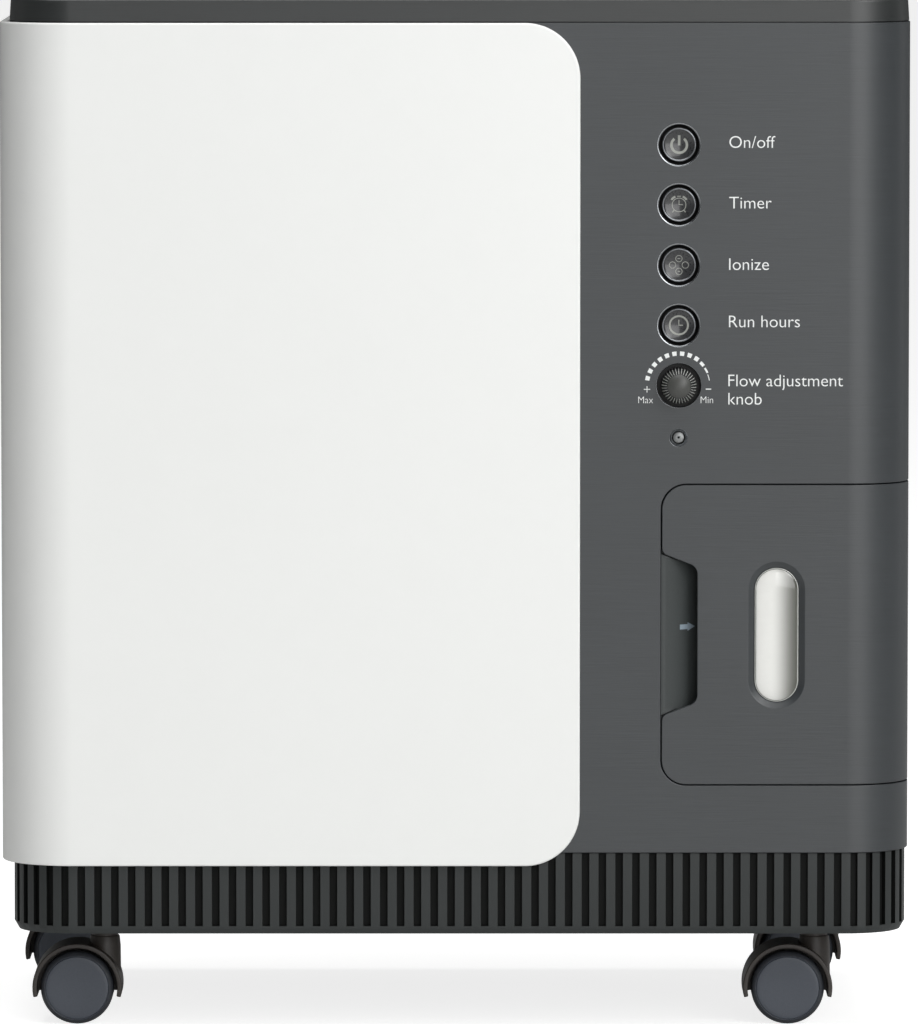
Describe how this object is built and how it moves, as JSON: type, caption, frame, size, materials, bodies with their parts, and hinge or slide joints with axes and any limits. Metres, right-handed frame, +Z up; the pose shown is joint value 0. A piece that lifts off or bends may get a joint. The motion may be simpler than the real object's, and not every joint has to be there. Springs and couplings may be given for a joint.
{
  "type": "oxygen concentrator",
  "caption": "Upright box on casters with a glossy front panel, push buttons, a flow knob, an outlet and a humidifier door.",
  "frame": {"origin": "on the floor under the middle of the object's bounding box", "axes": "+Z up, -Y out of the front face with the buttons, +X to the right seen from the front"},
  "size_m": [0.4, 0.24, 0.4547],
  "materials": {
    "body_gray": "dark grey ABS, fine brushed texture",
    "panel_white": "glossy white ABS",
    "cover_black": "black ABS, satin",
    "base_black": "black ABS, ribbed",
    "button_black": "dark smoked caps, satin gloss",
    "knob_black": "black plastic, knurled",
    "liner_gray": "moulded liner plastic",
    "circuit_board": "green laminate",
    "brass": "turned brass",
    "spigot_metal": "turned, satin",
    "window_clear": "pearly translucent window",
    "bottle_clear": "clear polycarbonate",
    "steel": "ground steel",
    "sheet_steel": "zinc-plated sheet",
    "filter_foam": "open-cell filter foam",
    "inlet_black": "black moulded plastic",
    "hood_black": "black nylon, satin",
    "wheel_gray": "dark grey nylon",
    "cast_aluminium": "die cast",
    "motor_black": "black enamel",
    "rubber": "moulded rubber",
    "tank_white": "white powder coat",
    "copper": "drawn copper tube"
  },
  "bodies": {
    "cabinet": {"front_shell": "body_gray", "rear_shell": "body_gray", "front_panel": "panel_white", "top_cover": "cover_black", "base_tray": "base_black", "control_frame": "liner_gray", "button_board": "circuit_board", "flow_valve": "brass", "outlet_nozzle": "spigot_metal", "humidifier_bay": "liner_gray", "humidifier_bottle": "bottle_clear", "humidifier_cap": "liner_gray", "door_hinge_pin": "steel", "mains_inlet": "inlet_black", "bulkhead": "sheet_steel", "fan_shelf": "sheet_steel", "compressor_motor": "motor_black", "compressor_head_left": "cast_aluminium", "compressor_head_right": "cast_aluminium", "compressor_mount_1": "rubber", "compressor_mount_2": "rubber", "compressor_mount_3": "rubber", "compressor_mount_4": "rubber", "cooling_fan_frame": "inlet_black", "cooling_coil": "copper", "sieve_tower_front": "tank_white", "sieve_tower_rear": "tank_white", "oxygen_tank": "tank_white", "valve_manifold": "liner_gray", "product_tube": "rubber", "power_board": "circuit_board", "ion_generator": "liner_gray"},
    "power_key": {"power_button": "button_black"},
    "timer_key": {"timer_button": "button_black"},
    "ion_key": {"ion_button": "button_black"},
    "hours_key": {"hours_button": "button_black"},
    "flow_control": {"flow_knob": "knob_black", "valve_spindle": "brass"},
    "bay_door": {"humidifier_door": "body_gray", "door_window": "window_clear"},
    "filter_door": {"filter_cover": "body_gray", "intake_filter": "filter_foam"},
    "compressor_rotor": {"compressor_shaft": "steel"},
    "fan_rotor": {"cooling_fan_rotor": "inlet_black"},
    "caster_front_left": {"caster_hood_front_left": "hood_black", "caster_axle_front_left": "steel"},
    "wheel_front_left_near": {"caster_wheel_front_left_near": "wheel_gray"},
    "wheel_front_left_far": {"caster_wheel_front_left_far": "wheel_gray"},
    "caster_front_right": {"caster_hood_front_right": "hood_black", "caster_axle_front_right": "steel"},
    "wheel_front_right_near": {"caster_wheel_front_right_near": "wheel_gray"},
    "wheel_front_right_far": {"caster_wheel_front_right_far": "wheel_gray"},
    "caster_rear_left": {"caster_hood_rear_left": "hood_black", "caster_axle_rear_left": "steel"},
    "wheel_rear_left_near": {"caster_wheel_rear_left_near": "wheel_gray"},
    "wheel_rear_left_far": {"caster_wheel_rear_left_far": "wheel_gray"},
    "caster_rear_right": {"caster_hood_rear_right": "hood_black", "caster_axle_rear_right": "steel"},
    "wheel_rear_right_near": {"caster_wheel_rear_right_near": "wheel_gray"},
    "wheel_rear_right_far": {"caster_wheel_rear_right_far": "wheel_gray"}
  },
  "joints": [
    {"name": "power_press", "type": "slide", "parent": "cabinet", "child": "power_key", "axis": [0, 1, 0], "range_m": [0, 0.0015], "stiffness_N_per_m": 400},
    {"name": "timer_press", "type": "slide", "parent": "cabinet", "child": "timer_key", "axis": [0, 1, 0], "range_m": [0, 0.0015], "stiffness_N_per_m": 400},
    {"name": "ion_press", "type": "slide", "parent": "cabinet", "child": "ion_key", "axis": [0, 1, 0], "range_m": [0, 0.0015], "stiffness_N_per_m": 400},
    {"name": "hours_press", "type": "slide", "parent": "cabinet", "child": "hours_key", "axis": [0, 1, 0], "range_m": [0, 0.0015], "stiffness_N_per_m": 400},
    {"name": "flow_turn", "type": "hinge", "parent": "cabinet", "child": "flow_control", "pos_m": [0.098, -0.111, 0.286], "axis": [0, 1, 0], "range_deg": [-90, 90]},
    {"name": "door_hinge", "type": "hinge", "parent": "cabinet", "child": "bay_door", "pos_m": [0.1955, -0.052, 0.1763], "axis": [0, 0, 1], "range_deg": [0, 95]},
    {"name": "filter_pull", "type": "slide", "parent": "cabinet", "child": "filter_door", "axis": [0, 1, 0], "range_m": [0, 0.06]},
    {"name": "compressor_spin", "type": "hinge", "parent": "cabinet", "child": "compressor_rotor", "pos_m": [-0.06, 0.01, 0.118], "axis": [1, 0, 0], "continuous": true},
    {"name": "fan_spin", "type": "hinge", "parent": "cabinet", "child": "fan_rotor", "pos_m": [-0.06, 0.01, 0.243], "axis": [0, 0, 1], "continuous": true},
    {"name": "swivel_front_left", "type": "hinge", "parent": "cabinet", "child": "caster_front_left", "pos_m": [-0.1555, -0.068, 0.044], "axis": [0, 0, 1], "continuous": true},
    {"name": "roll_front_left_near", "type": "hinge", "parent": "caster_front_left", "child": "wheel_front_left_near", "pos_m": [-0.1675, -0.068, 0.0162], "axis": [0, 1, 0], "continuous": true},
    {"name": "roll_front_left_far", "type": "hinge", "parent": "caster_front_left", "child": "wheel_front_left_far", "pos_m": [-0.1675, -0.068, 0.0162], "axis": [0, 1, 0], "continuous": true},
    {"name": "swivel_front_right", "type": "hinge", "parent": "cabinet", "child": "caster_front_right", "pos_m": [0.1595, -0.068, 0.044], "axis": [0, 0, 1], "continuous": true},
    {"name": "roll_front_right_near", "type": "hinge", "parent": "caster_front_right", "child": "wheel_front_right_near", "pos_m": [0.1475, -0.068, 0.0162], "axis": [0, 1, 0], "continuous": true},
    {"name": "roll_front_right_far", "type": "hinge", "parent": "caster_front_right", "child": "wheel_front_right_far", "pos_m": [0.1475, -0.068, 0.0162], "axis": [0, 1, 0], "continuous": true},
    {"name": "swivel_rear_left", "type": "hinge", "parent": "cabinet", "child": "caster_rear_left", "pos_m": [-0.1645, 0.062, 0.044], "axis": [0, 0, 1], "continuous": true},
    {"name": "roll_rear_left_near", "type": "hinge", "parent": "caster_rear_left", "child": "wheel_rear_left_near", "pos_m": [-0.1765, 0.062, 0.0162], "axis": [0, 1, 0], "continuous": true},
    {"name": "roll_rear_left_far", "type": "hinge", "parent": "caster_rear_left", "child": "wheel_rear_left_far", "pos_m": [-0.1765, 0.062, 0.0162], "axis": [0, 1, 0], "continuous": true},
    {"name": "swivel_rear_right", "type": "hinge", "parent": "cabinet", "child": "caster_rear_right", "pos_m": [0.1685, 0.062, 0.044], "axis": [0, 0, 1], "continuous": true},
    {"name": "roll_rear_right_near", "type": "hinge", "parent": "caster_rear_right", "child": "wheel_rear_right_near", "pos_m": [0.1565, 0.062, 0.0162], "axis": [0, 1, 0], "continuous": true},
    {"name": "roll_rear_right_far", "type": "hinge", "parent": "caster_rear_right", "child": "wheel_rear_right_far", "pos_m": [0.1565, 0.062, 0.0162], "axis": [0, 1, 0], "continuous": true}
  ]
}
